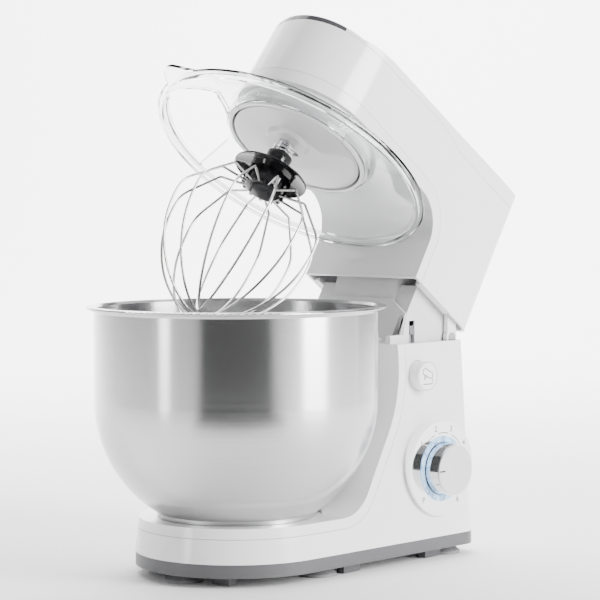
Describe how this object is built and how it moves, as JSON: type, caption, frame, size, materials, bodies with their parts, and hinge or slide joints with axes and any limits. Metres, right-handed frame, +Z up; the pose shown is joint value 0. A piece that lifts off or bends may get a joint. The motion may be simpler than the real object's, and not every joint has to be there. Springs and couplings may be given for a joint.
{
  "type": "stand mixer",
  "caption": "Tilt-head kitchen stand mixer with a twist-lock steel bowl, planetary wire whisk, clear splash lid, side speed dial and push-button head release",
  "frame": {"origin": "bottom centre of the whole mixer's box, head raised, on the table under the column front", "axes": "+Z up, nose towards -Y, speed dial side +X"},
  "size_m": [0.225, 0.3774, 0.4217],
  "materials": {
    "white_shell": "glossy",
    "grey_plastic": "satin",
    "dark_plastic": "glossy",
    "inner_plastic": "matte",
    "rubber": "soft",
    "bowl_steel": "brushed",
    "wire_steel": "polished",
    "steel": "machined",
    "chrome": "polished",
    "plated": "satin plate",
    "dial_silver": "mirror",
    "clear": "clear moulded plastic",
    "glow": "translucent",
    "gear_nylon": "moulded",
    "black_rubber": "belt",
    "bronze": "sintered",
    "copper": "bare",
    "board": "lacquered",
    "iron": "laminated"
  },
  "bodies": {
    "base": {"base_casing": "white_shell", "front_deck": "white_shell", "bottom_tray": "grey_plastic", "suction_feet": "rubber", "tray_screws": "steel", "cord_gland": "dark_plastic", "bowl_seat": "white_shell", "neck": "white_shell", "neck_face": "white_shell", "hinge_bushes": "bronze", "latch_pin": "steel", "latch_bracket": "inner_plastic", "dial_plate": "dial_silver", "light_ring": "glow", "speed_switch": "dark_plastic", "switch_bracket": "inner_plastic", "control_board": "board", "board_components": "dark_plastic", "button_spring": "steel"},
    "bowl": {"mixing_bowl": "bowl_steel", "bowl_foot": "bowl_steel"},
    "knob": {"speed_knob": "chrome", "knob_cap": "plated", "knob_shaft": "steel"},
    "button": {"release_button": "white_shell"},
    "latch": {"latch_lever": "steel"},
    "head": {"head_cover": "white_shell", "lower_cover": "white_shell", "top_cap": "white_shell", "nose_trim": "dark_plastic", "rear_trim": "dark_plastic", "hinge_arms": "white_shell", "hinge_pin": "steel", "ring_gear": "gear_nylon", "shaft_bearings": "bronze", "gear_frame": "inner_plastic", "motor_plate": "steel", "plate_screws": "steel", "motor_can": "steel", "magnets": "iron", "motor_bearings": "bronze", "brushes": "iron", "drive_belt": "black_rubber"},
    "motor": {"motor_shaft": "steel", "rotor_core": "iron", "rotor_winding": "copper", "commutator": "copper", "motor_pulley": "gear_nylon"},
    "carrier": {"planet_carrier": "grey_plastic", "carrier_bush": "bronze", "input_shaft": "steel", "large_pulley": "gear_nylon"},
    "tool": {"tool_shaft": "chrome", "cross_pin": "steel", "planet_pinion": "gear_nylon", "whisk_spring": "chrome"},
    "whisk": {"whisk_hub": "dark_plastic", "whisk_wires": "wire_steel"},
    "lid": {"splash_lid": "clear"}
  },
  "joints": [
    {"name": "head_tilt", "type": "hinge", "parent": "base", "child": "head", "pos_m": [0, 0.1098, 0.17], "axis": [1, 0, 0], "range_deg": [0, 36.3]},
    {"name": "carrier_spin", "type": "hinge", "parent": "head", "child": "carrier", "pos_m": [0, -0.0105, 0.32041], "axis": [0, 0.592, 0.8059], "continuous": true},
    {"name": "tool_spin", "type": "hinge", "parent": "carrier", "child": "tool", "pos_m": [0.00206, -0.02044, 0.32771], "axis": [0, 0.592, 0.8059], "continuous": true},
    {"name": "motor_spin", "type": "hinge", "parent": "head", "child": "motor", "pos_m": [0, 0.07765, 0.30529], "axis": [0, 0.592, 0.8059], "continuous": true},
    {"name": "whisk_push", "type": "slide", "parent": "tool", "child": "whisk", "axis": [0, 0.592, 0.8059], "range_m": [0, 0.003], "stiffness_N_per_m": 900, "springref_m": -0.002, "deforming": ["whisk_spring"]},
    {"name": "lid_twist", "type": "hinge", "parent": "head", "child": "lid", "pos_m": [0, -0.00813, 0.32364], "axis": [0, 0.592, 0.8059], "range_deg": [0, 20]},
    {"name": "bowl_twist", "type": "hinge", "parent": "base", "child": "bowl", "pos_m": [0, -0.0762, 0.044], "axis": [0, 0, 1], "range_deg": [0, 27]},
    {"name": "speed_dial", "type": "hinge", "parent": "base", "child": "knob", "pos_m": [0.085, 0.0711, 0.0708], "axis": [1, 0, 0], "range_deg": [-45, 225]},
    {"name": "release_push", "type": "slide", "parent": "base", "child": "button", "axis": [-1, 0, 0], "range_m": [0, 0.004], "stiffness_N_per_m": 900, "springref_m": -0.002, "deforming": ["button_spring"]},
    {"name": "latch_swing", "type": "hinge", "parent": "base", "child": "latch", "pos_m": [0.046, 0.0668, 0.108], "axis": [0, -1, 0], "range_deg": [0, 6.8]}
  ],
  "couplings": [
    {"joint": "tool_spin", "follows": "carrier_spin", "ratio": -2.9231},
    {"joint": "motor_spin", "follows": "carrier_spin", "ratio": 5.5385},
    {"joint": "latch_swing", "follows": "release_push", "rad_per_m": 28.49}
  ]
}
